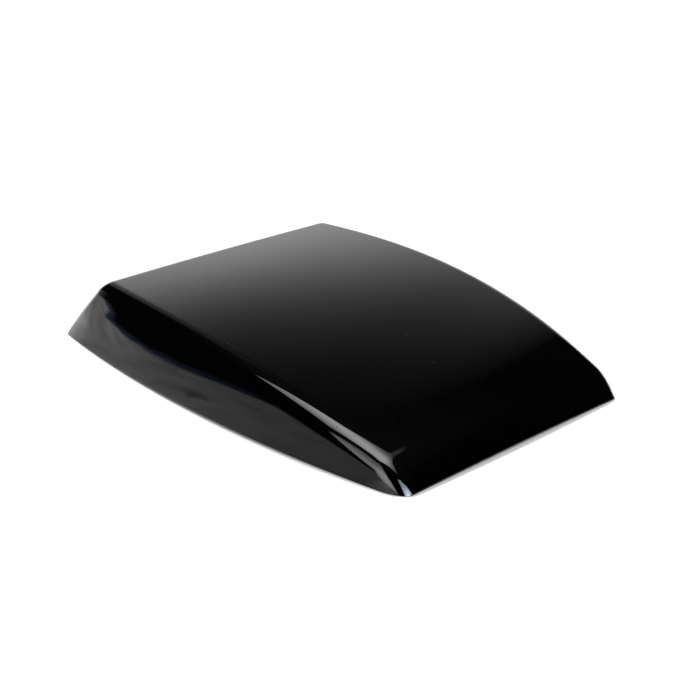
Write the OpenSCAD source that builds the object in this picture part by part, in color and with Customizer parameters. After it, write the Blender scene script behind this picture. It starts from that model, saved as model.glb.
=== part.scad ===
// Decorative bonnet vent: one moulded plastic shell with a raked open mouth, a hollow inside
// and an open underside. It is bonded to a panel by the rim around its sides and tail.
// The mouth faces -Y, the tail faces +Y and the foot's corners stand on z = 0.

/* [Footprint] */
// Length from the mouth's foot to the tail edge
body_l = 340; // [300:1:400]
// Width across the two side walls at the mouth's foot
mouth_foot_w = 224.5; // [200:0.5:250]
// Width across the two side walls at the tail
tail_foot_w = 203; // [175:1:225]
// How far each side bows out at mid length from a straight line
foot_bow = 15.7; // [0:0.1:24]
// Length of side that each rear foot corner takes up
foot_corner_side = 17; // [10:0.5:24]
// Length of tail that each rear foot corner takes up
foot_corner_tail = 7; // [5:0.5:18]
// Height of the arch under each side, so that the rim follows a curved panel
side_arch = 1.5; // [0:0.1:3]
// Height of the arch under the tail
tail_arch = 1.2; // [0:0.1:3]

/* [Top panel] */
// Height of the top at the middle of the mouth
mouth_h = 51.5; // [44:0.5:62]
// Rise of the profile's front control point above the mouth
front_rise = 3.9; // [0:0.1:8]
// Rise of the profile's rear control point above the mouth
rear_rise = 1.4; // [-6:0.1:6]
// Height that the top would reach at the tail if its edge were sharp
tail_h = 17; // [15:0.5:24]
// Drop of the top from its middle to its side edges at the mouth
mouth_crown = 0.8; // [0:0.1:4]
// Drop of the top from its middle to its side edges at the tail
tail_crown = 3.6; // [0:0.1:5]

/* [Side and tail walls] */
// Distance that the mouth's top edge lies behind its foot
mouth_rake = 45; // [20:1:60]
// Distance that the tail's top edge lies ahead of its foot
tail_rake = 8.4; // [4:0.1:12]
// Lean of the side wall at the mouth, from the foot in to the top edge
mouth_lean = 6.8; // [4:0.1:12]
// Lean of the side wall at mid length
mid_lean = 9.3; // [4:0.1:14]
// Lean of the side wall at the tail
tail_lean = 1.8; // [0:0.1:6]
// Outward swell of the side walls at the mouth
mouth_belly = 4; // [0:0.5:6]
// Outward swell of the side walls where they reach the tail
rear_belly = 1; // [0:0.1:4]
// Outward swell of the tail wall
tail_belly = 1.2; // [0:0.1:2]

/* [Rounded edges] */
// Radius of the side edges at the mouth
mouth_edge_r = 7.75; // [6:0.25:12]
// Radius of the side edges where they reach the tail
side_edge_r = 8.75; // [6:0.25:13]
// Radius of the edge across the tail
tail_edge_r = 10.75; // [8:0.25:14]
// Length of side edge that each rear corner of the top takes up
top_corner_side = 16; // [10:0.5:22]
// Length of tail edge that each rear corner of the top takes up
top_corner_tail = 14; // [9:0.5:20]

/* [Shell] */
// Wall thickness
wall = 3; // [2:0.1:4]
// Width of the bonding rim that turns in along the foot
rim_w = 8; // [5:0.5:12]
// Thickness of the bonding rim
rim_t = 3; // [2:0.1:4]

/* [Hidden] */

// Share of the wall's height at which the swell is widest
side_belly_at = 0.3;
tail_belly_at = 0.25;
// Largest share of a wall that a rounded edge may take
fillet_share = 0.85;
// Weight of a conic that turns through a right angle along a circle
round_w = sqrt(0.5);

// Facets along each side, round each rear corner and across half the tail
side_n = 26;
corner_n = 6;
tail_n = 8;
// Facets up the wall and round the edge
wall_n = 4;
edge_n = 6;
// Steps used to measure a slope, in mm and in shares, and the halvings used to find a height
slope_step = 0.5;
tiny = 0.002;
halvings = 14;

foot_front = -body_l / 2;
foot_back = body_l / 2;
top_front = foot_front + mouth_rake;
top_back = foot_back - tail_rake;
// Where the flat of the top ends and the tail edge starts to round
top_end = top_back - tail_edge_r;

function mix(a, b, t) = a + (b - a) * t;
function unit(v) = v / norm(v);

// A Bezier curve through any number of control values or points
function bezier(p, t) = len(p) == 1
    ? p[0]
    : bezier([for (i = [0 : len(p) - 2]) mix(p[i], p[i + 1], t)], t);

// A conic arc from a to b that leaves a towards c and reaches b from c
function conic(a, c, b, w, t) =
    (a * pow(1 - t, 2) + c * 2 * w * t * (1 - t) + b * pow(t, 2))
    / (pow(1 - t, 2) + 2 * w * t * (1 - t) + pow(t, 2));

// A parabola from a to b that passes mid at its middle
function parabola(a, mid, b, t) = bezier([a, 2 * mid - (a + b) / 2, b], t);

// Half width of the foot and of the top edge, at share s of the length of each
function foot_half(s) =
    let (a = mouth_foot_w / 2, b = tail_foot_w / 2)
    parabola(a, (a + b) / 2 + foot_bow, b, s);
function top_half(s) = foot_half(s) - parabola(mouth_lean, mid_lean, tail_lean, s);

// Share of the top's length at y
function top_s(y) = (y - top_front) / (top_back - top_front);

// Height of the top panel: a profile along its middle, less a crown that falls to the sides
function top_z(p) =
    let (s = top_s(p.y))
    bezier([mouth_h, mouth_h + front_rise, mouth_h + rear_rise, tail_h], s)
    - mix(mouth_crown, tail_crown, s) * pow(p.x / top_half(s), 2);
function on_top(p) = [p.x, p.y, top_z(p)];

// Plan direction in which the shell faces: 0 to 1 a side, 1 to 2 a corner, 2 to 3 the tail
function facing(u) = let (a = 90 * min(max(u - 1, 0), 1)) [cos(a), sin(a)];

// The foot's outer edge
function foot(u) =
    let (s = min(u, 1),
         y = mix(foot_front, foot_back - foot_corner_side, s),
         side = [foot_half((y - foot_front) / body_l), y],
         w = tail_foot_w / 2,
         tail = [w - foot_corner_tail, foot_back],
         bend = conic(side, [w, foot_back], tail, round_w, u - 1))
    u <= 1 ? [side.x, side.y, side_arch * 4 * s * (1 - s)]
    : u <= 2 ? [bend.x, bend.y, 0]
    : [tail.x * (3 - u), tail.y, tail_arch * (1 - pow(3 - u, 2))];

// The line in plan along which the walls would meet the top if the edge were sharp
function sharp_edge(u) =
    let (y = mix(top_front, top_back - top_corner_side, min(u, 1)),
         side = [top_half(top_s(y)), y],
         w = top_half(1),
         tail = [w - top_corner_tail, top_back])
    u <= 1 ? side
    : u <= 2 ? conic(side, [w, top_back], tail, round_w, u - 1)
    : [tail.x * (3 - u), tail.y];

// Radius of the rounded edge, and the line in plan where it meets the top
function edge_r(u) =
    u <= 1 ? mix(mouth_edge_r, side_edge_r, u) : mix(side_edge_r, tail_edge_r, min(u - 1, 1));
function top_edge(u) =
    let (s = min(u, 1), y = mix(top_front, top_end, s))
    [(top_half(top_s(y)) - edge_r(s)) * min(3 - u, 1), y];

// One point of the outer skin: v is 0 to 1 up the wall and 1 to 2 round the edge
function right_skin(u, v) =
    let (t = min(max(u - 1, 0), 1),
         f = foot(u),
         g = on_top(top_edge(u)),
         run = sharp_edge(u) - top_edge(u),
         step = unit(run) * slope_step,
         slope = (top_z(top_edge(u) + step) - top_z(top_edge(u) - step)) / (2 * slope_step),
         s = [g.x + run.x, g.y + run.y, g.z + slope * norm(run)],
         out = facing(u) * mix(mix(mouth_belly, rear_belly, min(u, 1)), tail_belly, t),
         c = mix(f, s, mix(side_belly_at, tail_belly_at, t)) + [out.x, out.y, 0],
         e = mix(s, c, min(edge_r(u) / norm(c - s), fillet_share)),
         w = sqrt((1 - unit(c - s) * unit(g - s)) / 2))
    v <= 1 ? bezier([f, c, e], v) : conic(e, s, g, w, v - 1);

// The left half mirrors the right one
function flip(p) = [-p.x, p.y, p.z];
function skin(u, v) = u <= 3 ? right_skin(u, v) : flip(right_skin(6 - u, v));

// Outward normals of the top panel and of the walls
function top_normal(p) =
    let (dx = [slope_step, 0], dy = [0, slope_step])
    unit([top_z(p - dx) - top_z(p + dx), top_z(p - dy) - top_z(p + dy), 2 * slope_step]);
function normal(u, v) =
    v > 2 - tiny
    ? top_normal(skin(u, 2))
    : unit(cross(skin(min(u + tiny, 6), v) - skin(max(u - tiny, 0), v),
                 skin(u, v + tiny) - skin(u, max(v - tiny, 0))));
function inner(u, v) = skin(u, v) - wall * normal(u, v);

// The place up the inner skin where it meets the top of the bonding rim
function rim_v(u, low = 0, high = 2, n = halvings) =
    let (m = (low + high) / 2)
    n == 0 ? m
    : inner(u, m).z < skin(u, 0).z + rim_t ? rim_v(u, m, high, n - 1) : rim_v(u, low, m, n - 1);

// A point on the rim's inner edge, lifted by h
function rim_edge(u, h) =
    let (n = normal(u, 0))
    skin(u, 0) - rim_w * unit([n.x, n.y, 0]) + [0, 0, h];

// Stations along the right half, then along the whole shell from mouth to mouth
half_u = concat(
    [for (i = [0 : side_n]) i / side_n],
    [for (i = [1 : corner_n - 1]) 1 + i / corner_n],
    [for (i = [0 : tail_n]) 2 + i / tail_n]);
stations = concat(half_u, [for (i = [len(half_u) - 2 : -1 : 0]) 6 - half_u[i]]);
rows = concat([for (i = [0 : wall_n]) i / wall_n], [for (i = [1 : edge_n]) 1 + i / edge_n]);

// Columns of points from the outer foot up to the top, and from the inner foot up to the top
outer_columns = [for (u = stations) [for (v = rows) skin(u, v)]];
inner_columns = [for (u = stations)
    let (v0 = rim_v(u))
    concat([rim_edge(u, 0), rim_edge(u, rim_t)], [for (v = rows) inner(u, mix(v0, 2, v / 2))])];

// The top panel between the two side edges, row by row from the mouth to the tail
across = [for (i = [-tail_n : tail_n]) i / tail_n];
panel = [for (i = [0 : side_n])
    let (e = top_edge(i / side_n))
    [for (k = across) [e.x * k, e.y]]];
outer_panel = [for (row = panel) [for (p = row) on_top(p)]];
inner_panel = [for (row = panel) [for (p = row) on_top(p) - wall * top_normal(p)]];

// Two triangles for each cell of a grid, anticlockwise where the rows run up and then on
function grid_faces(g) = [
    for (i = [0 : len(g) - 2], k = [0 : len(g[0]) - 2])
        for (f = [[g[i][k], g[i + 1][k], g[i + 1][k + 1]], [g[i][k], g[i + 1][k + 1], g[i][k + 1]]])
            f];
function flipped(faces) = [for (f = faces) [f[2], f[1], f[0]]];

// Every skin is a grid of numbers into one list of points, and cells that close to nothing drop out
function numbers(g, first) =
    [for (i = [0 : len(g) - 1]) [for (k = [0 : len(g[0]) - 1]) first + i * len(g[0]) + k]];
function flat(g) = [for (row = g) for (p = row) p];
function whole(faces) = [for (f = faces) if (f[0] != f[1] && f[1] != f[2] && f[2] != f[0]) f];

// The top row of each column is the panel's own border point
function border(i, g) =
    i <= side_n ? g[i][2 * tail_n]
    : i >= len(stations) - 1 - side_n ? g[len(stations) - 1 - i][0]
    : g[side_n][tail_n + max(min(tail_middle - i, tail_n), -tail_n)];
tail_middle = (len(stations) - 1) / 2;

outer_n = len(rows) - 1;
inner_n = outer_n + 2;
function below_top(columns) = [for (c = columns) [for (i = [0 : len(c) - 2]) c[i]]];
points = concat(flat(outer_panel), flat(inner_panel),
                flat(below_top(outer_columns)), flat(below_top(inner_columns)));

panel_count = len(flat(panel));
outer_top = numbers(panel, 0);
inner_top = numbers(panel, panel_count);
outer_low = numbers(below_top(outer_columns), 2 * panel_count);
inner_low = numbers(below_top(inner_columns), 2 * panel_count + len(stations) * outer_n);
outer_grid = [for (i = [0 : len(stations) - 1]) concat(outer_low[i], [border(i, outer_top)])];
inner_grid = [for (i = [0 : len(stations) - 1]) concat(inner_low[i], [border(i, inner_top)])];

// The foot's rim joins the two skins below, and the mouth's edge joins them in front
foot_grid = [for (i = [0 : len(stations) - 1]) [inner_grid[i][0], outer_grid[i][0]]];
function mouth_faces(out, in) = concat(
    [[out[0], in[0], in[1]], [out[0], in[1], in[2]]],
    grid_faces([[for (i = [0 : outer_n]) out[i]], [for (i = [0 : outer_n]) in[i + 2]]]));
last = len(stations) - 1;
lip_grid = [outer_top[0], inner_top[0]];

faces = whole(concat(
    grid_faces(outer_grid),
    flipped(grid_faces(outer_top)),
    flipped(grid_faces(inner_grid)),
    grid_faces(inner_top),
    grid_faces(foot_grid),
    flipped(mouth_faces(outer_grid[0], inner_grid[0])),
    mouth_faces(outer_grid[last], inner_grid[last]),
    grid_faces(lip_grid)));

module scoop_shell() {
    color([0.02, 0.02, 0.022])
        polyhedron(points = points, faces = flipped(faces), convexity = 6);
}

scoop_shell();
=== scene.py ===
"""Decorative bonnet vent: its gloss black shell, a pale studio floor, soft lights and a camera."""

from __future__ import annotations

import logging
import math
from collections.abc import Iterable, Sequence
from dataclasses import dataclass
from enum import Enum

import bpy
import numpy as np
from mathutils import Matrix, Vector

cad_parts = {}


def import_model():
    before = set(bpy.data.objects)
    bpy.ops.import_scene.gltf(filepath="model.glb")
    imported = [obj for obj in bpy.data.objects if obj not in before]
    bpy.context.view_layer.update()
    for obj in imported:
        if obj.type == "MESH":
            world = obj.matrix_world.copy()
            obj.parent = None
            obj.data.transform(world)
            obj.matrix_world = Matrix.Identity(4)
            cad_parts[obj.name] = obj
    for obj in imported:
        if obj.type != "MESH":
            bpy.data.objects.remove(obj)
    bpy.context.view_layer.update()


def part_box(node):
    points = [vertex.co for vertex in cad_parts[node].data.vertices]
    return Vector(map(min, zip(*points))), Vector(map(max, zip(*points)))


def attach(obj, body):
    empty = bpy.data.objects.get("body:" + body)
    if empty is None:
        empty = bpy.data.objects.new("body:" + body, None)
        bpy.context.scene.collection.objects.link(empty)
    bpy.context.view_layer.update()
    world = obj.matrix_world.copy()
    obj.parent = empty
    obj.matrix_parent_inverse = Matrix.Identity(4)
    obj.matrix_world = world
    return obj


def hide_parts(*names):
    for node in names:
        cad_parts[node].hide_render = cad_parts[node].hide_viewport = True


LOG = logging.getLogger("bonnet_vent")

NODE = "scoop_shell"
BODY = "root"
MM = 0.001
EASED = {"interpolation_type": "SMOOTHSTEP"}
FULL = {"Strength": 1.0}
Values = np.ndarray
Triple = tuple[float, float, float]
# An azimuth, 0 towards -Y and 90 towards +X, and an elevation, in degrees
Way = tuple[float, float]
# What a node's input may be linked to, and a node's inputs by name or number
Source = bpy.types.Node | bpy.types.NodeSocket
Inputs = dict[str | int, object]


class Side(Enum):
    """Which face of the moulding a sheet of mesh stands for."""

    OUTER = "outer"
    INNER = "inner"


def srgb(code: str) -> tuple[float, float, float, float]:
    """Turns an sRGB hex colour to linear.

    Args:
        code: Six hex digits, with or without a leading #.

    Returns:
        Linear red, green, blue and an alpha of 1.
    """
    digits = code.lstrip("#")
    parts = [int(digits[i : i + 2], 16) / 255 for i in (0, 2, 4)]
    linear = [p / 12.92 if p <= 0.04045 else ((p + 0.055) / 1.055) ** 2.4 for p in parts]
    return (linear[0], linear[1], linear[2], 1.0)


def mix(a: Values | float, b: Values | float, t: Values | float) -> Values | float:
    """Returns the value at share t of the way from a to b."""
    return a + (b - a) * t


def bezier(controls: list[Values | float], t: Values | float) -> Values | float:
    """Gives a point of a Bezier curve with any number of controls.

    Args:
        controls: The curve's control values or points, in order.
        t: Share of the curve.

    Returns:
        The point at t.
    """
    while len(controls) > 1:
        controls = [mix(a, b, t) for a, b in zip(controls, controls[1:])]
    return controls[0]


def conic(start: Values, corner: Values, end: Values, weight: Values | float, t: Values) -> Values:
    """Gives a conic arc that leaves start towards corner and reaches end from it.

    Args:
        start: Where the arc starts.
        corner: Where its two end tangents meet.
        end: Where the arc ends.
        weight: The cosine of half the turn gives a circular arc.
        t: Share of the arc.

    Returns:
        The points of the arc.
    """
    a, b, c = (1 - t) ** 2, 2 * weight * t * (1 - t), t**2
    return (start * a + corner * b + end * c) / (a + b + c)


def parabola(start: float, middle: float, end: float, t: Values | float) -> Values | float:
    """Returns a parabola from start to end that passes middle half way."""
    return bezier([start, 2 * middle - (start + end) / 2, end], t)


def column(values: Values) -> Values:
    """Returns a flat row of values as one column, to multiply points by."""
    return np.asarray(values, dtype=float).reshape(-1, 1)


def unit(vectors: Values) -> Values:
    """Returns each row of an array of vectors at length 1."""
    return vectors / np.linalg.norm(vectors, axis=1, keepdims=True)


def direction(azimuth: float, elevation: float) -> Vector:
    """Returns the unit vector of an azimuth and an elevation."""
    a, e = math.radians(azimuth), math.radians(elevation)
    return Vector((math.sin(a) * math.cos(e), -math.cos(a) * math.cos(e), math.sin(e)))


def overhead(x: float, y: float) -> Way:
    """Returns the azimuth and elevation of a place on a ceiling one unit up."""
    return (math.degrees(math.atan2(x, -y)), math.degrees(math.atan2(1, math.hypot(x, y))))


@dataclass
class ShellForm:
    """The moulding's form in metres. It faces -Y with its mouth and is the same left and right.

    A place on the skin is (u, v). u runs round the foot: 0 to 1 along the right side, 1 to 2 round the
    rear corner, 2 to 4 along the tail, 4 to 5 round the left corner and 5 to 6 along the left side.
    v runs up: 0 to 1 up the wall and 1 to 2 round the edge to the top.
    """

    length: float
    mouth_foot_width: float = 224.5 * MM
    tail_foot_width: float = 203 * MM
    foot_bow: float = 15.7 * MM
    foot_corner_side: float = 17 * MM
    foot_corner_tail: float = 7 * MM
    side_arch: float = 1.5 * MM
    tail_arch: float = 1.2 * MM
    mouth_height: float = 51.5 * MM
    front_rise: float = 3.9 * MM
    rear_rise: float = 1.4 * MM
    tail_height: float = 17 * MM
    mouth_crown: float = 0.8 * MM
    tail_crown: float = 3.6 * MM
    mouth_rake: float = 45 * MM
    tail_rake: float = 8.4 * MM
    mouth_lean: float = 6.8 * MM
    mid_lean: float = 9.3 * MM
    tail_lean: float = 1.8 * MM
    mouth_belly: float = 4 * MM
    rear_belly: float = 1 * MM
    tail_belly: float = 1.2 * MM
    side_belly_at: float = 0.3
    tail_belly_at: float = 0.25
    mouth_edge_radius: float = 7.75 * MM
    side_edge_radius: float = 8.75 * MM
    tail_edge_radius: float = 10.75 * MM
    top_corner_side: float = 16 * MM
    top_corner_tail: float = 14 * MM
    wall: float = 3 * MM
    rim_width: float = 8 * MM
    rim_thickness: float = 3 * MM
    # Largest share of a wall that a rounded edge may take, and the weight of a quarter circle
    fillet_share: float = 0.85
    round_weight: float = math.sqrt(0.5)
    # Steps to measure slopes by, in metres and in u and v, and the halvings that find a height
    slope_step: float = 0.5 * MM
    tiny: float = 0.002
    halvings: int = 18

    def __post_init__(self) -> None:
        """Works out where the foot and the top start and end."""
        self.foot_front = -self.length / 2
        self.foot_back = self.length / 2
        self.top_front = self.foot_front + self.mouth_rake
        self.top_back = self.foot_back - self.tail_rake
        self.top_end = self.top_back - self.tail_edge_radius

    def foot_half(self, s: Values | float) -> Values | float:
        """Returns half the foot's width at share s of its length."""
        a, b = self.mouth_foot_width / 2, self.tail_foot_width / 2
        return parabola(a, (a + b) / 2 + self.foot_bow, b, s)

    def top_half(self, s: Values | float) -> Values | float:
        """Returns half the width between the sharp side edges at share s of the top's length."""
        return self.foot_half(s) - parabola(self.mouth_lean, self.mid_lean, self.tail_lean, s)

    def top_share(self, y: Values) -> Values:
        """Returns the share of the top's length at y."""
        return (y - self.top_front) / (self.top_back - self.top_front)

    def top_height(self, plan: Values) -> Values:
        """Gives the height of the top panel.

        Args:
            plan: Points of the plan.

        Returns:
            The height over each point.
        """
        s = self.top_share(plan[:, 1])
        high = self.mouth_height
        profile = bezier([high, high + self.front_rise, high + self.rear_rise, self.tail_height], s)
        crown = mix(self.mouth_crown, self.tail_crown, s)
        return profile - crown * (plan[:, 0] / self.top_half(s)) ** 2

    def on_top(self, plan: Values) -> Values:
        """Returns the points of the top panel over the plan."""
        return np.column_stack([plan, self.top_height(plan)])

    def top_normal(self, plan: Values) -> Values:
        """Gives the top panel's outward normals.

        Args:
            plan: Points of the plan.

        Returns:
            One unit vector over each point.
        """
        h = self.slope_step
        dx, dy = np.array([[h, 0.0]]), np.array([[0.0, h]])
        rise_x = self.top_height(plan - dx) - self.top_height(plan + dx)
        rise_y = self.top_height(plan - dy) - self.top_height(plan + dy)
        return unit(np.column_stack([rise_x, rise_y, np.full(len(plan), 2 * h)]))

    def plan_line(self, u: Values, side: Values, half: float, tail_round: float, back: float) -> Values:
        """Gives a plan line of the right half: along the side, round the rear corner, across the tail.

        Args:
            u: Places round the foot, 0 to 3.
            side: The side's point at each place, which stays at its end past 1.
            half: Half the width at the tail if the corner were sharp.
            tail_round: Length of the tail that the corner takes up.
            back: How far back the tail lies.

        Returns:
            One point of the plan for each place.
        """
        flat = half - tail_round
        corner, end = np.array([[half, back]]), np.array([[flat, back]])
        bend = conic(side, corner, end, self.round_weight, column(np.clip(u - 1, 0, 1)))
        tail = np.column_stack([flat * np.clip(3 - u, 0, 1), np.full(len(u), back)])
        return np.where(column(u) <= 1, side, np.where(column(u) <= 2, bend, tail))

    def foot(self, u: Values) -> Values:
        """Gives the outer edge of the foot on the right half.

        Args:
            u: Places round the foot, 0 to 3.

        Returns:
            One point for each place.
        """
        s = np.minimum(u, 1)
        y = mix(self.foot_front, self.foot_back - self.foot_corner_side, s)
        side = np.column_stack([self.foot_half((y - self.foot_front) / self.length), y])
        plan = self.plan_line(u, side, self.tail_foot_width / 2, self.foot_corner_tail, self.foot_back)
        side_lift = self.side_arch * 4 * s * (1 - s)
        tail_lift = self.tail_arch * (1 - np.clip(3 - u, 0, 1) ** 2)
        lift = np.where(u <= 1, side_lift, np.where(u <= 2, 0.0, tail_lift))
        return np.column_stack([plan, lift])

    def sharp_edge(self, u: Values) -> Values:
        """Gives the plan line where the walls would meet the top if the edge were sharp.

        Args:
            u: Places round the foot, 0 to 3.

        Returns:
            One point of the plan for each place.
        """
        y = mix(self.top_front, self.top_back - self.top_corner_side, np.minimum(u, 1))
        side = np.column_stack([self.top_half(self.top_share(y)), y])
        return self.plan_line(u, side, self.top_half(1.0), self.top_corner_tail, self.top_back)

    def blend(self, u: Values, mouth: float, rear: float, tail: float) -> Values:
        """Returns a measure that goes from mouth to rear along the side, then to tail round the corner."""
        return mix(mix(mouth, rear, np.minimum(u, 1)), tail, np.clip(u - 1, 0, 1))

    def edge_radius(self, u: Values) -> Values:
        """Returns the rounded edge's radius at u."""
        return self.blend(u, self.mouth_edge_radius, self.side_edge_radius, self.tail_edge_radius)

    def top_edge(self, u: Values) -> Values:
        """Gives the plan line where the rounded edge meets the top.

        Args:
            u: Places round the foot, 0 to 3.

        Returns:
            One point of the plan for each place.
        """
        s = np.minimum(u, 1)
        y = mix(self.top_front, self.top_end, s)
        x = (self.top_half(self.top_share(y)) - self.edge_radius(s)) * np.clip(3 - u, 0, 1)
        return np.column_stack([x, y])

    def right_skin(self, u: Values, v: Values) -> Values:
        """Gives points of the outer skin on the right half.

        Args:
            u: Places round the foot, 0 to 3.
            v: Places up the wall and round the edge, 0 to 2.

        Returns:
            One point for each pair of u and v.
        """
        foot, plan = self.foot(u), self.top_edge(u)
        top = self.on_top(plan)
        # Where wall and top would meet, with the top carried on at its slope
        run = self.sharp_edge(u) - plan
        step = unit(run) * self.slope_step
        slope = (self.top_height(plan + step) - self.top_height(plan - step)) / (2 * self.slope_step)
        sharp = np.column_stack([plan + run, top[:, 2] + slope * np.linalg.norm(run, axis=1)])
        # The wall's middle control point, pushed out by its swell
        turn = np.clip(u - 1, 0, 1)
        angle = turn * math.pi / 2
        belly = self.blend(u, self.mouth_belly, self.rear_belly, self.tail_belly)
        swell = np.column_stack([np.cos(angle) * belly, np.sin(angle) * belly, np.zeros(len(u))])
        middle = mix(foot, sharp, column(mix(self.side_belly_at, self.tail_belly_at, turn))) + swell
        # The rounded edge, as near to a circle as its two ends allow
        drop = np.linalg.norm(middle - sharp, axis=1)
        bottom = mix(sharp, middle, column(np.minimum(self.edge_radius(u) / drop, self.fillet_share)))
        opening = np.sum(unit(middle - sharp) * unit(top - sharp), axis=1)
        weight = np.sqrt((1 - opening) / 2)
        wall = bezier([foot, middle, bottom], column(np.minimum(v, 1)))
        edge = conic(bottom, sharp, top, column(weight), column(np.clip(v - 1, 0, 1)))
        return np.where(column(v) <= 1, wall, edge)

    def skin(self, u: Values, v: Values) -> Values:
        """Gives points of the outer skin, the left half as a mirror of the right.

        Args:
            u: Places round the foot, 0 to 6.
            v: Places up the wall and round the edge, 0 to 2.

        Returns:
            One point for each pair of u and v.
        """
        points = self.right_skin(np.where(u > 3, 6 - u, u), v)
        points[:, 0] *= np.where(u > 3, -1, 1)
        return points

    def normal(self, u: Values, v: Values) -> Values:
        """Gives the outer skin's outward normals.

        Args:
            u: Places round the foot, 0 to 6.
            v: Places up the wall and round the edge, 0 to 2.

        Returns:
            One unit vector for each pair of u and v.
        """
        h = self.tiny
        along = self.skin(np.minimum(u + h, 6), v) - self.skin(np.maximum(u - h, 0), v)
        up = self.skin(u, np.minimum(v + h, 2)) - self.skin(u, np.maximum(v - h, 0))
        top = self.top_normal(self.skin(u, np.full(len(u), 2.0))[:, :2])
        return unit(np.where(column(v) > 2 - h, top, np.cross(along, up)))

    def inner(self, u: Values, v: Values) -> Values:
        """Returns points of the inner skin, one wall's thickness in."""
        return self.skin(u, v) - self.wall * self.normal(u, v)

    def rim_level(self, u: Values) -> Values:
        """Finds how far up the inner skin the top of the bonding rim lies.

        Args:
            u: Places round the foot, 0 to 6.

        Returns:
            The v of the rim's top at each place.
        """
        low, high = np.zeros(len(u)), np.full(len(u), 2.0)
        target = self.skin(u, np.zeros(len(u)))[:, 2] + self.rim_thickness
        for _ in range(self.halvings):
            middle = (low + high) / 2
            below = self.inner(u, middle)[:, 2] < target
            low = np.where(below, middle, low)
            high = np.where(below, high, middle)
        return (low + high) / 2

    def inset(self, u: Values) -> Values:
        """Gives the foot's outer edge on the right half, moved in by the rim's width.

        Args:
            u: Places round the foot, 0 to 3.

        Returns:
            One point for each place.
        """
        out = self.normal(u, np.zeros(len(u)))
        out[:, 2] = 0
        return self.foot(u) - self.rim_width * unit(out)

    def rim_edge(self, u: Values, height: float) -> Values:
        """Gives the bonding rim's inner edge.

        The rim is wider than the rear corner's tail side is round, so an even offset would fold there and
        the edge has a rounding of its own.

        Args:
            u: Places round the foot, 0 to 6.
            height: How far the edge is lifted.

        Returns:
            One point for each place.
        """
        right = np.where(u > 3, 6 - u, u)
        before, start, end = self.inset(np.array([1 - self.tiny, 1.0, 2.0]))
        run = (start - before) / (start[1] - before[1])
        corner = start + run * (end[1] - start[1])
        corner[2] = 0
        bend = conic(start, corner, end, self.round_weight, column(np.clip(right - 1, 0, 1)))
        points = np.where((column(right) > 1) & (column(right) < 2), bend, self.inset(right))
        points[:, 0] *= np.where(u > 3, -1, 1)
        points[:, 2] += height
        return points


@dataclass(frozen=True)
class Density:
    """How many mesh cells each stretch of the shell has."""

    side: int = 120
    corner: int = 28
    half_tail: int = 60
    rows: int = 30
    rim_rows: int = 2

    @property
    def round_foot(self) -> int:
        """Cells from mouth to mouth round the foot."""
        return 2 * (self.side + self.corner + self.half_tail)


@dataclass
class Workshop:
    """Small modelling steps that the pieces share."""

    def select(self, *pieces: bpy.types.Object) -> None:
        """Selects these pieces alone and makes the first one active.

        Args:
            *pieces: The objects to select.
        """
        bpy.ops.object.select_all(action="DESELECT")
        for piece in pieces:
            piece.select_set(True)
        bpy.context.view_layer.objects.active = pieces[0]

    def grid(self, name: str, across: int, along: int) -> tuple[bpy.types.Object, Values, Values]:
        """Adds a flat grid, to be shaped.

        Args:
            name: The new object's name.
            across: Cells along X.
            along: Cells along Y.

        Returns:
            The object, and each vertex's place on the grid as cell counts along X and Y.
        """
        bpy.ops.mesh.primitive_grid_add(x_subdivisions=across, y_subdivisions=along, size=1)
        sheet = bpy.context.active_object
        sheet.name = name
        flat = np.empty(len(sheet.data.vertices) * 3)
        sheet.data.vertices.foreach_get("co", flat)
        flat = flat.reshape(-1, 3)
        return sheet, np.round((flat[:, 0] + 0.5) * across), np.round((flat[:, 1] + 0.5) * along)

    def place(self, sheet: bpy.types.Object, points: Values) -> None:
        """Moves each vertex of a sheet to its point."""
        sheet.data.vertices.foreach_set("co", np.asarray(points, dtype=np.float32).ravel())
        sheet.data.update()

    def edit(self, piece: bpy.types.Object) -> None:
        """Opens one piece in edit mode with nothing in it selected.

        Args:
            piece: The object to open.
        """
        self.select(piece)
        bpy.ops.object.mode_set(mode="EDIT")
        bpy.ops.mesh.select_all(action="DESELECT")

    def done(self) -> None:
        """Leaves edit mode."""
        bpy.ops.object.mode_set(mode="OBJECT")

    def join(self, name: str, pieces: list[bpy.types.Object]) -> bpy.types.Object:
        """Joins pieces into the first one.

        Args:
            name: The joined object's name.
            pieces: The objects to join.

        Returns:
            The joined object.
        """
        self.select(*pieces)
        bpy.ops.object.join()
        pieces[0].name = name
        pieces[0].data.name = name
        return pieces[0]

    def hang(self, name: str, data: bpy.types.ID, way: Vector) -> bpy.types.Object:
        """Adds a light or camera that looks back along the way it lies in.

        Args:
            name: The new object's name.
            data: The light or the camera's lens.
            way: The direction from what it looks at to itself.

        Returns:
            The new object.
        """
        holder = bpy.data.objects.new(name, data)
        holder.rotation_euler = way.to_track_quat("Z", "Y").to_euler()
        bpy.context.scene.collection.objects.link(holder)
        return holder

    def apply(self, piece: bpy.types.Object, kind: str, **settings: object) -> None:
        """Adds a modifier with its settings and applies it.

        Args:
            piece: The object to finish.
            kind: The modifier's type.
            **settings: Properties of the modifier.
        """
        self.select(piece)
        modifier = piece.modifiers.new(kind.lower(), kind)
        for key, value in settings.items():
            setattr(modifier, key, value)
        bpy.ops.object.modifier_apply(modifier=modifier.name)


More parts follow.
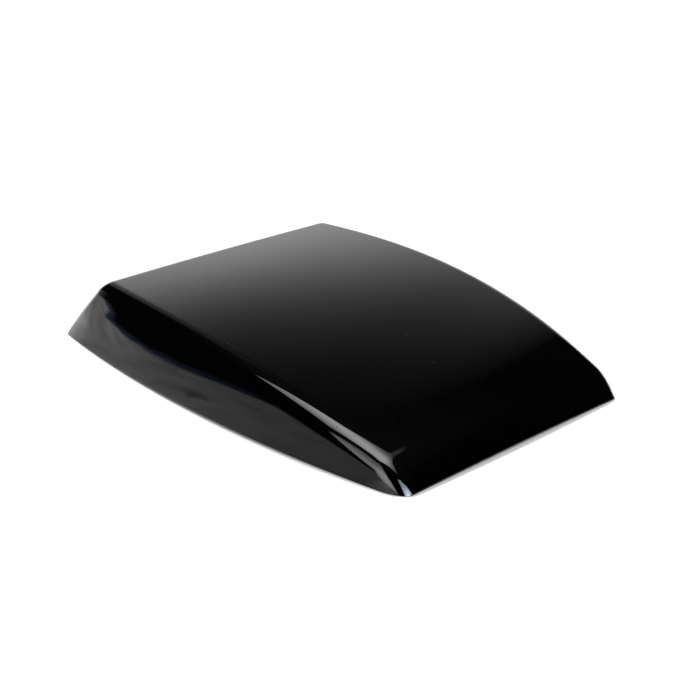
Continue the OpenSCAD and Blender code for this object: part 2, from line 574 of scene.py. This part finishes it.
class Shader:
    """A material or world whose nodes are added one at a time.

    A mix node's two ends are its inputs 2 and 3 for numbers, 4 and 5 for vectors and 6 and 7 for colours,
    and its output for these is 0, 1 or 2.
    """

    def __init__(self, owner: bpy.types.Material | bpy.types.World) -> None:
        """Takes the node tree of a material or world and empties it.

        Args:
            owner: The material or world to fill.
        """
        owner.use_nodes = True
        self.tree = owner.node_tree
        self.tree.nodes.clear()

    def add(self, kind: str, inputs: Inputs | None = None, **settings: object) -> bpy.types.Node:
        """Adds a node with its settings and links.

        Args:
            kind: The node's type name, less its ShaderNode.
            inputs: A value, a socket, or a node for its first output, for each input.
            **settings: Properties of the node.

        Returns:
            The new node.
        """
        node = self.tree.nodes.new(f"ShaderNode{kind}")
        for key, value in settings.items():
            setattr(node, key, value)
        for key, value in (inputs or {}).items():
            if isinstance(value, bpy.types.Node):
                value = value.outputs[0]
            if isinstance(value, bpy.types.NodeSocket):
                self.tree.links.new(value, node.inputs[key])
            else:
                node.inputs[key].default_value = value
        return node


def set_stops(ramp: bpy.types.ColorRamp, stops: Iterable[tuple[float, Sequence[float]]]) -> None:
    """Gives a colour ramp its stops.

    Args:
        ramp: The ramp of a new node.
        stops: A position and a linear colour for each stop, in order.
    """
    stops = list(stops)
    while len(ramp.elements) < len(stops):
        ramp.elements.new(0.5)
    for element, (position, colour) in zip(ramp.elements, stops):
        element.position = position
        element.color = colour


@dataclass(frozen=True)
class Span:
    """A level that goes from first to last while some measure goes from start to end."""

    start: float
    end: float
    first: float = 0.0
    last: float = 1.0

    @classmethod
    def of_angles(cls, start: float, end: float, first: float = 0.0, last: float = 1.0) -> Span:
        """Returns a span between two angles that are given in degrees."""
        return cls(math.radians(start), math.radians(end), first, last)

    def over(self, measure: Source) -> Inputs:
        """Returns the inputs of a map range node over a measure."""
        ends = {"From Min": self.start, "From Max": self.end, "To Min": self.first, "To Max": self.last}
        return {"Value": measure, **ends}


@dataclass(frozen=True)
class Grain:
    """A noise: the size of its blots, and the octaves of finer detail on them."""

    size: float
    detail: float = 0.0

    def over(self, place: Source) -> Inputs:
        """Returns the inputs of a noise node over a set of coordinates."""
        return {"Vector": place, "Scale": 1 / self.size, "Detail": self.detail}


@dataclass(frozen=True)
class GlossAbs:
    """Injection-moulded ABS from a polished tool: near black, with a wet-looking mirror gloss.

    The eye reads it by its reflections, which sway a little where the wall cooled unevenly, and by the odd
    mote of dust.
    """

    name: str = "moulded gloss black ABS"
    colour: str = "#010101"
    dust_colour: str = "#2c2b2a"
    ior: float = 1.5
    # A thin uneven film on the polish, and the roughness that goes with it
    film: Grain = Grain(45 * MM, 4.0)
    roughness: Span = Span(0.35, 0.7, 0.03, 0.055)
    # Slow sway of the surface from cooling, and the faint orange peel of a polished tool
    sway: Grain = Grain(34 * MM, 1.0)
    sway_depth: float = 0.02 * MM
    peel: Grain = Grain(2.4 * MM, 2.0)
    peel_depth: float = 0.0004 * MM
    # Hairline scratches from a cloth: a noise drawn out along the vent, where it is strong. They are
    # coarser than real ones, so that they show
    hairline_turn: float = math.radians(17)
    hairline_length: float = 60 * MM
    hairline_gap: float = 0.7 * MM
    hairline_depth: float = 0.0006 * MM
    drawn_out: Grain = Grain(1.0)
    hairlines: Span = Span(0.68, 0.74)
    # Motes of dust: their spacing, the largest one's radius, and the share of places that have none
    mote_spacing: float = 8 * MM
    mote_radius: float = 0.42 * MM
    bare_share: float = 0.45

    def build(self) -> bpy.types.Material:
        """Builds the finish's nodes.

        Returns:
            The material.
        """
        material = bpy.data.materials.new(self.name)
        shader = Shader(material)
        place = shader.add("TexCoord").outputs["Object"]
        film = shader.add("TexNoise", self.film.over(place))
        gloss = shader.add("MapRange", self.roughness.over(film))
        mote = self.dust(shader, place)
        tints = {0: mote, 6: srgb(self.colour), 7: srgb(self.dust_colour)}
        colour = shader.add("Mix", tints, data_type="RGBA")
        dull = shader.add("Math", {0: gloss, 1: mote}, operation="MAXIMUM")
        finish = {"Base Color": colour.outputs[2], "IOR": self.ior, "Roughness": dull}
        surface = shader.add("BsdfPrincipled", {**finish, "Normal": self.relief(shader, place)})
        shader.add("OutputMaterial", {"Surface": surface})
        return material

    def relief(self, shader: Shader, place: Source) -> bpy.types.Node:
        """Builds the surface's fine relief.

        Args:
            shader: The material's nodes.
            place: Where each point lies on the piece.

        Returns:
            The normal with its sway, its orange peel and its scratches.
        """
        sway = shader.add("TexNoise", self.sway.over(place))
        peel = shader.add("TexNoise", self.peel.over(place))
        stretch = (1 / self.hairline_gap, 1 / self.hairline_length, 1 / self.hairline_length)
        along = {"Vector": place, "Rotation": (0, 0, self.hairline_turn), "Scale": stretch}
        drawn = shader.add("Mapping", along)
        lines = shader.add("TexNoise", self.drawn_out.over(drawn))
        hairs = shader.add("MapRange", self.hairlines.over(lines))
        swayed = shader.add("Bump", {"Height": sway, "Distance": self.sway_depth, **FULL})
        peeled = shader.add("Bump", {"Height": peel, "Distance": self.peel_depth, "Normal": swayed, **FULL})
        cut = {"Height": hairs, "Distance": self.hairline_depth, "Normal": peeled, **FULL}
        return shader.add("Bump", cut, invert=True)

    def dust(self, shader: Shader, place: Source) -> bpy.types.Node:
        """Scatters motes of dust, each of its own size near the middle of a cell.

        Args:
            shader: The material's nodes.
            place: Where each point lies on the piece.

        Returns:
            1 on a mote and 0 elsewhere.
        """
        spread = {"Vector": place, "Scale": 1 / self.mote_spacing, "Randomness": 1.0}
        cells = shader.add("TexVoronoi", spread)
        chance = shader.add("SeparateXYZ", {0: cells.outputs["Color"]})
        sizes = Span(self.bare_share, 1.0, 0.0, self.mote_radius / self.mote_spacing)
        radius = shader.add("MapRange", sizes.over(chance.outputs["X"]))
        return shader.add("Math", {0: cells.outputs["Distance"], 1: radius}, operation="LESS_THAN")


@dataclass(frozen=True)
class SatinAbs:
    """The moulding's unpolished back face: the same ABS with the tool's fine satin grain.

    The eye reads it as soft grey sheen over a fine even grain, with the round marks of ejector pins.
    """

    name: str = "moulded satin black ABS"
    colour: str = "#0e0e0f"
    ior: float = 1.5
    # Patches of sheen, and the roughness that goes with them
    patches: Grain = Grain(30 * MM, 3.0)
    roughness: Span = Span(0.35, 0.65, 0.38, 0.52)
    # The tool's grain, drawn several times coarser than it is, so that it shows
    grain: Grain = Grain(0.35 * MM, 2.0)
    grain_depth: float = 0.012 * MM
    # Ejector pins: a flat round mark with a narrow sloping edge
    pin_spacing: float = 64 * MM
    pin_radius: float = 4 * MM
    pin_edge: float = 0.3 * MM
    pin_depth: float = 0.15 * MM

    def build(self) -> bpy.types.Material:
        """Builds the finish's nodes.

        Returns:
            The material.
        """
        material = bpy.data.materials.new(self.name)
        shader = Shader(material)
        place = shader.add("TexCoord").outputs["Object"]
        patch = shader.add("TexNoise", self.patches.over(place))
        sheen = shader.add("MapRange", self.roughness.over(patch))
        grain = shader.add("TexNoise", self.grain.over(place))
        grained = shader.add("Bump", {"Height": grain, "Distance": self.grain_depth, **FULL})
        marks = {"Height": self.pins(shader, place), "Distance": self.pin_depth, "Normal": grained}
        marked = shader.add("Bump", {**marks, **FULL})
        finish = {"Base Color": srgb(self.colour), "IOR": self.ior, "Roughness": sheen}
        surface = shader.add("BsdfPrincipled", {**finish, "Normal": marked})
        shader.add("OutputMaterial", {"Surface": surface})
        return material

    def pins(self, shader: Shader, place: Source) -> bpy.types.Node:
        """Marks where ejector pins pressed, on a grid seen in plan.

        Args:
            shader: The material's nodes.
            place: Where each point lies on the piece.

        Returns:
            The height round each pin, 0 on its mark.
        """
        half = self.pin_spacing / 2
        cell = {0: place, 1: (half, half, half), 2: (-half, -half, -half)}
        grid = shader.add("VectorMath", cell, operation="WRAP")
        plan = shader.add("VectorMath", {0: grid, 1: (1.0, 1.0, 0.0)}, operation="MULTIPLY")
        away = shader.add("VectorMath", {0: plan}, operation="LENGTH")
        edge = Span(self.pin_radius, self.pin_radius + self.pin_edge)
        return shader.add("MapRange", edge.over(away.outputs["Value"]))


@dataclass
class ScoopShell:
    """The whole moulding: two skins joined by the rim and the mouth's edge, with softened corners.

    Each skin is a grid laid on the form's formulas, because its walls curve both ways at once and no chain
    of edit mode's tools gives them an even thickness.
    """

    form: ShellForm
    shop: Workshop
    density: Density = Density()
    outside: GlossAbs = GlossAbs()
    inside: SatinAbs = SatinAbs()
    edge_softening: float = 0.5 * MM
    edge_segments: int = 2
    merge_distance: float = 0.01 * MM
    bevel_angle: float = math.radians(40)
    smooth_angle: float = math.radians(35)

    def around(self, cell: Values) -> Values:
        """Spreads the cells of a sheet round the foot.

        Args:
            cell: Cell counts from the right side's mouth end.

        Returns:
            The u of each.
        """
        d = self.density
        counts = np.cumsum([0, d.side, d.corner, 2 * d.half_tail, d.corner, d.side])
        return np.interp(cell, counts, [0, 1, 2, 4, 5, 6])

    def wall_sheet(self, side: Side) -> bpy.types.Object:
        """Makes the walls and their rounded edge, one skin of them.

        Args:
            side: The outer or the inner skin. The inner one starts with the bonding rim.

        Returns:
            The sheet.
        """
        d, form = self.density, self.form
        sheet, cell, row = self.shop.grid(f"{side.value}_walls", d.round_foot, d.rows)
        u = self.around(cell)
        if side is Side.OUTER:
            points = form.skin(u, row / d.rows * 2)
        else:
            share = np.clip((row - d.rim_rows) / (d.rows - d.rim_rows), 0, 1)
            points = form.inner(u, mix(form.rim_level(u), 2, share))
            points = np.where(column(row) == 0, form.rim_edge(u, 0), points)
            points = np.where(column(row) == 1, form.rim_edge(u, form.rim_thickness), points)
        self.shop.place(sheet, points)
        return sheet

    def top_sheet(self, side: Side) -> bpy.types.Object:
        """Makes the top panel between its rounded edges, one skin of it.

        Args:
            side: The outer or the inner skin.

        Returns:
            The sheet.
        """
        d, form = self.density, self.form
        sheet, cell, row = self.shop.grid(f"{side.value}_top", 2 * d.half_tail, d.side)
        edge = form.top_edge(row / d.side)
        plan = np.column_stack([edge[:, 0] * (cell / d.half_tail - 1), edge[:, 1]])
        points = form.on_top(plan)
        if side is Side.INNER:
            points = points - form.wall * form.top_normal(plan)
        self.shop.place(sheet, points)
        return sheet

    def skin(self, side: Side) -> bpy.types.Object:
        """Joins one skin's walls and top and sews their seam.

        Args:
            side: The outer or the inner skin.

        Returns:
            The joined skin.
        """
        piece = self.shop.join(f"{side.value}_skin", [self.wall_sheet(side), self.top_sheet(side)])
        self.shop.edit(piece)
        bpy.ops.mesh.select_all(action="SELECT")
        bpy.ops.mesh.remove_doubles(threshold=self.merge_distance)
        self.shop.done()
        return piece

    def build(self) -> bpy.types.Object:
        """Joins the two skins, bridges their open edges and softens the edges.

        Returns:
            The finished shell.
        """
        outer, inner = self.skin(Side.OUTER), self.skin(Side.INNER)
        outer.data.materials.append(self.outside.build())
        inner.data.materials.append(self.inside.build())
        piece = self.shop.join("scoop_shell_moulding", [outer, inner])
        self.shop.edit(piece)
        bpy.ops.mesh.select_mode(type="EDGE")
        bpy.ops.mesh.select_non_manifold(extend=False)
        bpy.ops.mesh.bridge_edge_loops()
        bpy.ops.mesh.select_all(action="SELECT")
        bpy.ops.mesh.normals_make_consistent(inside=False)
        self.shop.done()
        self.shop.apply(
            piece,
            "BEVEL",
            width=self.edge_softening,
            segments=self.edge_segments,
            limit_method="ANGLE",
            angle_limit=self.bevel_angle,
        )
        self.shop.select(piece)
        bpy.ops.object.shade_smooth_by_angle(angle=self.smooth_angle)
        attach(piece, BODY)
        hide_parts(NODE)
        LOG.info("shell: %d faces", len(piece.data.polygons))
        return piece


@dataclass(frozen=True)
class Softbox:
    """A studio light: a glowing panel, seen in the gloss and not by the camera.

    Its corners are given row by row as directions from the vent, and lie on a flat panel. It is brightest
    at its hot spot, and may also rise from dark to full along fade_way, between the two places in fade.
    hot_size and fade are shares of its distance.
    """

    name: str
    corners: tuple[tuple[Way, ...], ...]
    facing: Way
    distance: float
    radiance: float
    hot_spot: Way
    hot_radiance: float
    hot_size: float = 0.6
    colour: str = "#ffffff"
    fade_way: Triple | None = None
    fade: tuple[float, float] = (0.0, 1.0)

    def build(self, shop: Workshop, target: Vector) -> bpy.types.Object:
        """Adds the panel.

        Args:
            shop: Makes the panel's mesh.
            target: The point that the directions start from.

        Returns:
            The panel's object.
        """
        rows, across = len(self.corners), len(self.corners[0])
        panel, cell, row = shop.grid(self.name, across - 1, rows - 1)
        places = [self.place(self.corners[int(r)][int(c)], target) for c, r in zip(cell, row)]
        shop.place(panel, np.array(places))
        panel.visible_camera = False
        panel.visible_diffuse = False
        panel.data.materials.append(self.glow(target))
        LOG.info("light: %s", self.name)
        return panel

    def place(self, corner: Way, target: Vector) -> Vector:
        """Returns where a direction from the target meets the panel's plane."""
        middle, way = direction(*self.facing), direction(*corner)
        return target + way * (self.distance / way.dot(middle))

    def glow(self, target: Vector) -> bpy.types.Material:
        """Builds the panel's light.

        Args:
            target: The point that the directions start from.

        Returns:
            The material.
        """
        material = bpy.data.materials.new(self.name)
        shader = Shader(material)
        place = shader.add("TexCoord").outputs["Object"]
        ends = {0: place, 1: tuple(self.place(self.hot_spot, target))}
        far = shader.add("VectorMath", ends, operation="DISTANCE")
        spot = Span(0.0, self.hot_size * self.distance, self.hot_radiance, self.radiance)
        level = shader.add("MapRange", spot.over(far.outputs["Value"]), **EASED)
        if self.fade_way is not None:
            along = shader.add("VectorMath", {0: place, 1: self.fade_way}, operation="DOT_PRODUCT")
            rise = Span(*(share * self.distance for share in self.fade))
            rising = shader.add("MapRange", rise.over(along.outputs["Value"]))
            level = shader.add("Math", {0: level, 1: rising}, operation="MULTIPLY")
        light = shader.add("Emission", {"Color": srgb(self.colour), "Strength": level})
        shader.add("OutputMaterial", {"Surface": light})
        return material


@dataclass(frozen=True)
class WhitePaper:
    """Matt white paper: plain white to the camera, with the vent's soft shadow on it.

    In the gloss the eye reads it as a dimmer sheet with painted light and shade: a band of light with
    streaks past the mouth, a little uneven, the shade of a wrinkle, and bluish shade where its flat edge is
    painted as a curl. Measures are metres from the vent's middle.
    """

    name: str = "matt white paper"
    colour: str = "#d3d0cf"
    # Its own faint glow, for the camera alone
    lift: float = 0.04
    # Painted light and shade in the gloss: brighter by the side softbox, dimmer away from the wall, dark
    # past the tail
    beside: Span = Span(0.13, 0.165, 0.2, 0.85)
    away: Span = Span(0.08, 0.2, 0.405, 0.3)
    away_slant: float = 0.5
    past_tail: Span = Span(0.166, 0.18, 1.0, 0.0)
    # Past the mouth: a painted slanting band of light with soft painted streaks, both in stretched units
    past_mouth: Span = Span(-0.24, -0.14, 1.0, 0.0)
    band_turn: float = math.radians(22)
    band_stretch: Triple = (0.01, 0.25, 1)
    band: Span = Span(4.3, 6.3, 1.0, 0.0)
    band_power: float = 2.0
    band_gain: float = 3.2
    band_base: float = 1.3
    painted_streak_grain: Grain = Grain(1.0, 2.0)
    painted_streaks: Span = Span(0.3, 0.7, 0.7, 1.15)
    # Nearer by: soft clouds, 22 to the metre
    cloud: Grain = Grain(1 / 22, 2.0)
    clouds: Span = Span(0.3, 0.7, 0.82, 1.18)
    # Painted shade of one small wrinkle beside the wall, bent by a noise with 75 blots to the metre
    wrinkle_shade_at: Triple = (0.178, -0.016, 0.0)
    wrinkle_shade_bend: Grain = Grain(1 / 75, 1.0)
    wrinkle_shade_reach: Triple = (0.04, 0.04, 0.0)
    wrinkle_shade: Span = Span(0.002, 0.016, 0.45, 1.0)
    # The painted shade of a curl, white through bluish to black, takes up the last of the sheet's three
    # columns
    painted_curl_shade: Span = Span(2 / 3, 1.0)
    painted_curl_tints: tuple[tuple[float, str], ...] = (
        (0.0, "#ffffff"),
        (0.08, "#d0d2d6"),
        (0.16, "#9aa0ae"),
        (0.28, "#566484"),
        (0.6, "#4e5c80"),
        (0.8, "#2c3448"),
        (1.0, "#000000"),
    )

    def build(self) -> bpy.types.Material:
        """Builds the finish's nodes.

        Returns:
            The material.
        """
        material = bpy.data.materials.new(self.name)
        shader = Shader(material)
        camera = shader.add("LightPath").outputs["Is Camera Ray"]
        place = shader.add("TexCoord")
        sheet = shader.add("SeparateXYZ", {0: place.outputs["UV"]})
        # Painted shade of a curl across the sheet's last column, white through bluish to black
        across = shader.add("MapRange", self.painted_curl_shade.over(sheet.outputs["X"]))
        painted_curl_shade = shader.add("ValToRGB", {"Fac": across})
        set_stops(painted_curl_shade.color_ramp, ((at, srgb(tint)) for at, tint in self.painted_curl_tints))
        # The paper's painted light and shade in the gloss, tinted by the painted curl
        level = self.level(shader, place.outputs["Object"])
        tinted = shader.add("VectorMath", {0: painted_curl_shade, "Scale": level}, operation="SCALE")
        seen = shader.add("Mix", {0: camera, 4: tinted, 5: srgb(self.colour)[:3]}, data_type="VECTOR")
        paper = shader.add("BsdfDiffuse", {"Color": seen.outputs[1]})
        lift = shader.add("Math", {0: camera, 1: self.lift}, operation="MULTIPLY")
        glow = shader.add("Emission", {"Strength": lift})
        both = shader.add("AddShader", {0: paper, 1: glow})
        shader.add("OutputMaterial", {"Surface": both})
        return material

    def level(self, shader: Shader, place: Source) -> bpy.types.Node:
        """Works out the paper's painted light and shade in the gloss.

        Args:
            shader: The material's nodes.
            place: Where each point lies on the paper.

        Returns:
            The node of that level.
        """
        axes = shader.add("SeparateXYZ", {0: place})
        beside = shader.add("MapRange", self.beside.over(axes.outputs["Y"]), **EASED)
        slanting = {0: axes.outputs["Y"], 1: self.away_slant, 2: axes.outputs["X"]}
        far = shader.add("Math", slanting, operation="MULTIPLY_ADD")
        away = shader.add("MapRange", self.away.over(far))
        level = shader.add("Math", {0: beside, 1: away}, operation="MAXIMUM")
        cloud = shader.add("TexNoise", self.cloud.over(place))
        clouds = shader.add("MapRange", self.clouds.over(cloud))
        mouth = shader.add("MapRange", self.past_mouth.over(axes.outputs["Y"]))
        pattern = shader.add("Mix", {0: mouth, 2: clouds, 3: self.mouth_band(shader, place)})
        past_tail = shader.add("MapRange", self.past_tail.over(axes.outputs["Y"]))
        for share in (pattern, past_tail, self.painted_wrinkle_shade(shader, place)):
            level = shader.add("Math", {0: level, 1: share}, operation="MULTIPLY")
        return level

    def mouth_band(self, shader: Shader, place: Source) -> bpy.types.Node:
        """Draws the painted slanting band of light past the mouth, with its painted streaks.

        Args:
            shader: The material's nodes.
            place: Where each point lies on the paper.

        Returns:
            The node of its level.
        """
        stretch = {"Vector": place, "Rotation": (0, 0, self.band_turn), "Scale": self.band_stretch}
        slanted = shader.add("Mapping", stretch, vector_type="TEXTURE")
        # Painted streaks of light and shade along the band
        painted_streak_grain = shader.add("TexNoise", self.painted_streak_grain.over(slanted))
        painted_streaks = shader.add("MapRange", self.painted_streaks.over(painted_streak_grain))
        slant = shader.add("SeparateXYZ", {0: slanted})
        inside = shader.add("MapRange", self.band.over(slant.outputs["X"]))
        steep = shader.add("Math", {0: inside, 1: self.band_power}, operation="POWER")
        gain = {0: steep, 1: self.band_gain, 2: self.band_base}
        band = shader.add("Math", gain, operation="MULTIPLY_ADD")
        return shader.add("Math", {0: painted_streaks, 1: band}, operation="MULTIPLY")

    def painted_wrinkle_shade(self, shader: Shader, place: Source) -> bpy.types.Node:
        """Draws the painted shade of a wrinkle, whose outline a noise bends.

        Args:
            shader: The material's nodes.
            place: Where each point lies on the paper.

        Returns:
            The share of light that it leaves.
        """
        wavy = shader.add("TexNoise", self.wrinkle_shade_bend.over(place))
        reach = {0: wavy.outputs["Color"], 1: self.wrinkle_shade_reach, 2: place}
        bent = shader.add("VectorMath", reach, operation="MULTIPLY_ADD")
        off = shader.add("VectorMath", {0: bent, 1: self.wrinkle_shade_at}, operation="DISTANCE")
        return shader.add("MapRange", self.wrinkle_shade.over(off.outputs["Value"]))


@dataclass
class Floor:
    """The sheet of paper that the vent stands on, flat, with its right-hand edge shaded as a curl."""

    shop: Workshop
    finish: WhitePaper = WhitePaper()
    reach: float = 2.5
    # The edge's course: y, x and the width of the painted curl
    edge: tuple[Triple, ...] = (
        (-3.5, 1.32, 0.03),
        (-0.95, 0.49, 0.03),
        (-0.61, 0.36, 0.03),
        (-0.49, 0.298, 0.03),
        (-0.43, 0.265, 0.03),
        (-0.39, 0.25, 0.03),
        (-0.24, 0.215, 0.04),
        (-0.187, 0.208, 0.08),
        (-0.151, 0.208, 0.13),
        (-0.13, 0.222, 0.15),
        (-0.109, 0.256, 0.13),
        (-0.088, 0.279, 0.1),
        (-0.061, 0.32, 0.07),
        (0.019, 0.29, 0.07),
        (0.046, 0.296, 0.07),
        (0.057, 0.353, 0.06),
        (0.075, 1.6, 0.04),
        (1.0, 1.6, 0.04),
    )

    def build(self) -> bpy.types.Object:
        """Adds the sheet: two columns of plain paper and one that its finish shades as a curl.

        Returns:
            The sheet's object.
        """
        ys, edge, painted_curl_width = np.array(self.edge).T
        rows = len(ys)
        xs = np.column_stack([np.full(rows, -self.reach), np.zeros(rows), edge, edge + painted_curl_width])
        floor, cell, row = self.shop.grid("studio_floor", xs.shape[1] - 1, rows - 1)
        c, r = cell.astype(int), row.astype(int)
        self.shop.place(floor, np.column_stack([xs[r, c], ys[r], np.zeros(len(c))]))
        floor.data.materials.append(self.finish.build())
        LOG.info("floor: %d rows", rows)
        return floor


@dataclass(frozen=True)
class Falloff:
    """A light that is full at the floor, half as bright at one height and ever dimmer above it."""

    full: float
    half_height: float
    power: float


@dataclass(frozen=True)
class Surround:
    """The world: an even white light, and in the vent's gloss a dark room with a pale sweep.

    Heights are angles above the horizon. Turns are angles from the sweep's middle towards +X, its right.
    """

    name: str = "studio surround"
    sweep_azimuth: float = 320
    sweep_tint: str = "#fcfcff"
    # The sweep's light in its left part and in its right part
    left_light: Falloff = Falloff(full=1.25, half_height=math.radians(22.2), power=4.4)
    right_light: Falloff = Falloff(full=1.4, half_height=math.radians(20.5), power=5.0)
    left_to_right: Span = Span.of_angles(-6, 5)
    # The sweep stands a little higher at its left end, and fades there
    left_rise: Span = Span.of_angles(-24, -15, math.radians(3.5), 0.0)
    left_end: Span = Span.of_angles(-29.8, -17)
    left_power: float = 0.7
    # Its right end leans in with height
    right_end: Span = Span.of_angles(5, 26, math.radians(62), math.radians(30))
    right_fade: Span = Span.of_angles(-3, 3, 1.0, 0.0)
    # A haze over its right half, up to a height, and the dark room that is lighter overhead
    haze: Span = Span.of_angles(-4, 12, 0.0, 0.1)
    haze_top: Span = Span.of_angles(50, 66, 1.0, 0.0)
    room: Span = Span.of_angles(42, 62, 0.008, 0.05)

    def build(self) -> None:
        """Makes the world."""
        world = bpy.data.worlds.new(self.name)
        bpy.context.scene.world = world
        shader = Shader(world)
        place = shader.add("TexCoord").outputs["Generated"]
        axes = shader.add("SeparateXYZ", {0: place})
        height = shader.add("Math", {0: axes.outputs["Z"]}, operation="ARCSINE")
        sweep = self.sweep(shader, height, self.turn(shader, place))
        room = shader.add("MapRange", self.room.over(height))
        seen = shader.add("Math", {0: sweep, 1: room}, operation="MAXIMUM")
        cool = shader.add("VectorMath", {0: srgb(self.sweep_tint)[:3], "Scale": seen}, operation="SCALE")
        glossy = shader.add("LightPath").outputs["Is Glossy Ray"]
        shown = shader.add("Mix", {0: glossy, 4: (1, 1, 1), 5: cool}, data_type="VECTOR")
        light = shader.add("Background", {"Color": shown.outputs[1], "Strength": 1.0})
        shader.add("OutputWorld", {"Surface": light})
        LOG.info("surround: %s", self.name)

    def turn(self, shader: Shader, place: Source) -> bpy.types.Node:
        """Measures how far round from the middle of the sweep a direction lies.

        Args:
            shader: The world's nodes.
            place: The direction.

        Returns:
            The node of the turn, in radians.
        """
        by = {"Vector": place, "Angle": math.radians(-self.sweep_azimuth)}
        turned = shader.add("VectorRotate", by, rotation_type="Z_AXIS")
        flat = shader.add("SeparateXYZ", {0: turned})
        ahead = shader.add("Math", {0: flat.outputs["Y"], 1: -1.0}, operation="MULTIPLY")
        return shader.add("Math", {0: flat.outputs["X"], 1: ahead}, operation="ARCTAN2")

    def fall(self, shader: Shader, above: Source, light: Falloff) -> bpy.types.Node:
        """Draws how the light of one part of the sweep falls with height.

        Args:
            shader: The world's nodes.
            above: The angle above the sweep's foot.
            light: The part's light.

        Returns:
            The node of its level.
        """
        share = shader.add("Math", {0: above, 1: light.half_height}, operation="DIVIDE")
        steep = shader.add("Math", {0: share, 1: light.power}, operation="POWER")
        under = shader.add("Math", {0: steep, 1: 1.0}, operation="ADD")
        return shader.add("Math", {0: light.full, 1: under}, operation="DIVIDE")

    def sweep(self, shader: Shader, height: Source, turn: Source) -> bpy.types.Node:
        """Gives the sweep's light, white at the floor and fading with height.

        Args:
            shader: The world's nodes.
            height: The angle above the horizon.
            turn: The angle from the sweep's middle.

        Returns:
            The node of its level.
        """
        higher = shader.add("MapRange", self.left_rise.over(turn), **EASED)
        up = shader.add("Math", {0: height, 1: higher}, operation="SUBTRACT")
        above = shader.add("Math", {0: up, 1: 0.0}, operation="MAXIMUM")
        parts = [self.fall(shader, above, light) for light in (self.left_light, self.right_light)]
        part = shader.add("MapRange", self.left_to_right.over(turn), **EASED)
        level = shader.add("Mix", {0: part, 2: parts[0], 3: parts[1]})
        haze = shader.add("MapRange", self.haze.over(turn), **EASED)
        low = shader.add("MapRange", self.haze_top.over(height), **EASED)
        wisp = shader.add("Math", {0: haze, 1: low}, operation="MULTIPLY")
        level = shader.add("Math", {0: level, 1: wisp}, operation="ADD")
        edge = shader.add("MapRange", self.left_end.over(turn))
        left = shader.add("Math", {0: edge, 1: self.left_power}, operation="POWER")
        corner = shader.add("MapRange", self.right_end.over(height))
        beyond = shader.add("Math", {0: turn, 1: corner}, operation="SUBTRACT")
        right = shader.add("MapRange", self.right_fade.over(beyond), **EASED)
        for share in (left, right):
            level = shader.add("Math", {0: level, 1: share}, operation="MULTIPLY")
        return level


@dataclass(frozen=True)
class KeyLight:
    """One soft sun that stays out of the gloss and gives the paper the shadow past the tail."""

    name: str = "key light"
    strength: float = 3.4
    angle: float = math.radians(6)
    comes_from: Way = (-8, 52)

    def build(self, shop: Workshop) -> bpy.types.Object:
        """Adds the light.

        Args:
            shop: Hangs it up.

        Returns:
            The light's object.
        """
        sun = bpy.data.lights.new(self.name, "SUN")
        sun.energy = self.strength
        sun.angle = self.angle
        holder = shop.hang(self.name, sun, direction(*self.comes_from))
        holder.visible_glossy = False
        LOG.info("light: %s", self.name)
        return holder


@dataclass(frozen=True)
class PhotoCamera:
    """The camera at the photograph's angle, distance and focal length."""

    focal_px: float = 1339.535
    frame_px: float = 680
    sensor: float = 36
    azimuth: float = 137.548
    elevation: float = 23.077
    distance: float = 927.406 * MM
    look_at: Triple = (2.868 * MM, 8.318 * MM, 20 * MM)
    clip_start: float = 10 * MM

    def build(self, shop: Workshop) -> bpy.types.Object:
        """Adds the camera and makes it the scene's.

        Args:
            shop: Hangs it up.

        Returns:
            The camera's object.
        """
        away = direction(self.azimuth, self.elevation)
        lens = bpy.data.cameras.new("camera")
        lens.sensor_width = self.sensor
        lens.sensor_fit = "HORIZONTAL"
        lens.lens = self.focal_px / self.frame_px * self.sensor
        lens.clip_start = self.clip_start
        holder = shop.hang("camera", lens, away)
        holder.location = Vector(self.look_at) + away * self.distance
        bpy.context.scene.camera = holder
        LOG.info("camera: %.0f mm lens", lens.lens)
        return holder


def softboxes() -> list[Softbox]:
    """Sets out the panels that the gloss mirrors.

    Returns:
        The panels, still to be built.
    """
    # The overhead panel's outline, as x and y on a ceiling one unit up
    ceiling = (
        ((-0.68, -0.17), (-0.30, -0.13), (-0.15, -0.14), (-0.03, -0.16), (0.62, -0.62)),
        ((-0.66, -0.09), (-0.06, 0.26), (0.30, 0.66), (0.42, -0.01), (0.83, -0.24)),
    )
    above = Softbox(
        name="overhead softbox",
        corners=tuple(tuple(overhead(*place) for place in row) for row in ceiling),
        facing=(0, 90),
        distance=8.0,
        radiance=2.9,
        hot_spot=overhead(0.2, -0.05),
        hot_radiance=6.6,
        fade_way=(1, -1, 0),
        fade=(-0.6, 0.0),
    )
    beside = Softbox(
        name="side softbox",
        corners=(
            ((79, -1), (92, -2), (113, -3)),
            ((75, 29), (92, 34), (110, 31)),
            ((84, 50), (90, 55), (102, 51)),
        ),
        facing=(92, 20),
        distance=9.0,
        radiance=1.6,
        hot_spot=(99, 17),
        hot_radiance=5.0,
    )
    window = Softbox(
        name="window",
        corners=(
            ((134, -3), (160, -3), (212, -3)),
            ((136, 28), (154, 31), (170, 28)),
            ((141, 43), (149, 45), (156, 42)),
        ),
        facing=(155, 20),
        distance=10.0,
        radiance=6.0,
        hot_spot=(158, 6),
        hot_radiance=28.0,
        colour="#dfe8ff",
    )
    return [above, beside, window]


@dataclass
class Studio:
    """The pale floor, the white surround, the lights and the camera."""

    shop: Workshop
    light_target: Triple = (0, 0, 30 * MM)

    def build(self) -> None:
        """Adds everything that isn't part of the object."""
        Floor(shop=self.shop).build()
        Surround().build()
        for box in softboxes():
            box.build(self.shop, Vector(self.light_target))
        KeyLight().build(self.shop)
        PhotoCamera().build(self.shop)
        bpy.context.scene.view_settings.view_transform = "Standard"


def main() -> None:
    """Builds the vent and its studio."""
    logging.basicConfig(level=logging.INFO, format="%(message)s")
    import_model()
    low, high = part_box(NODE)
    form = ShellForm(length=high[1] - low[1])
    shop = Workshop()
    ScoopShell(form=form, shop=shop).build()
    Studio(shop=shop).build()


if __name__ == "__main__":
    main()
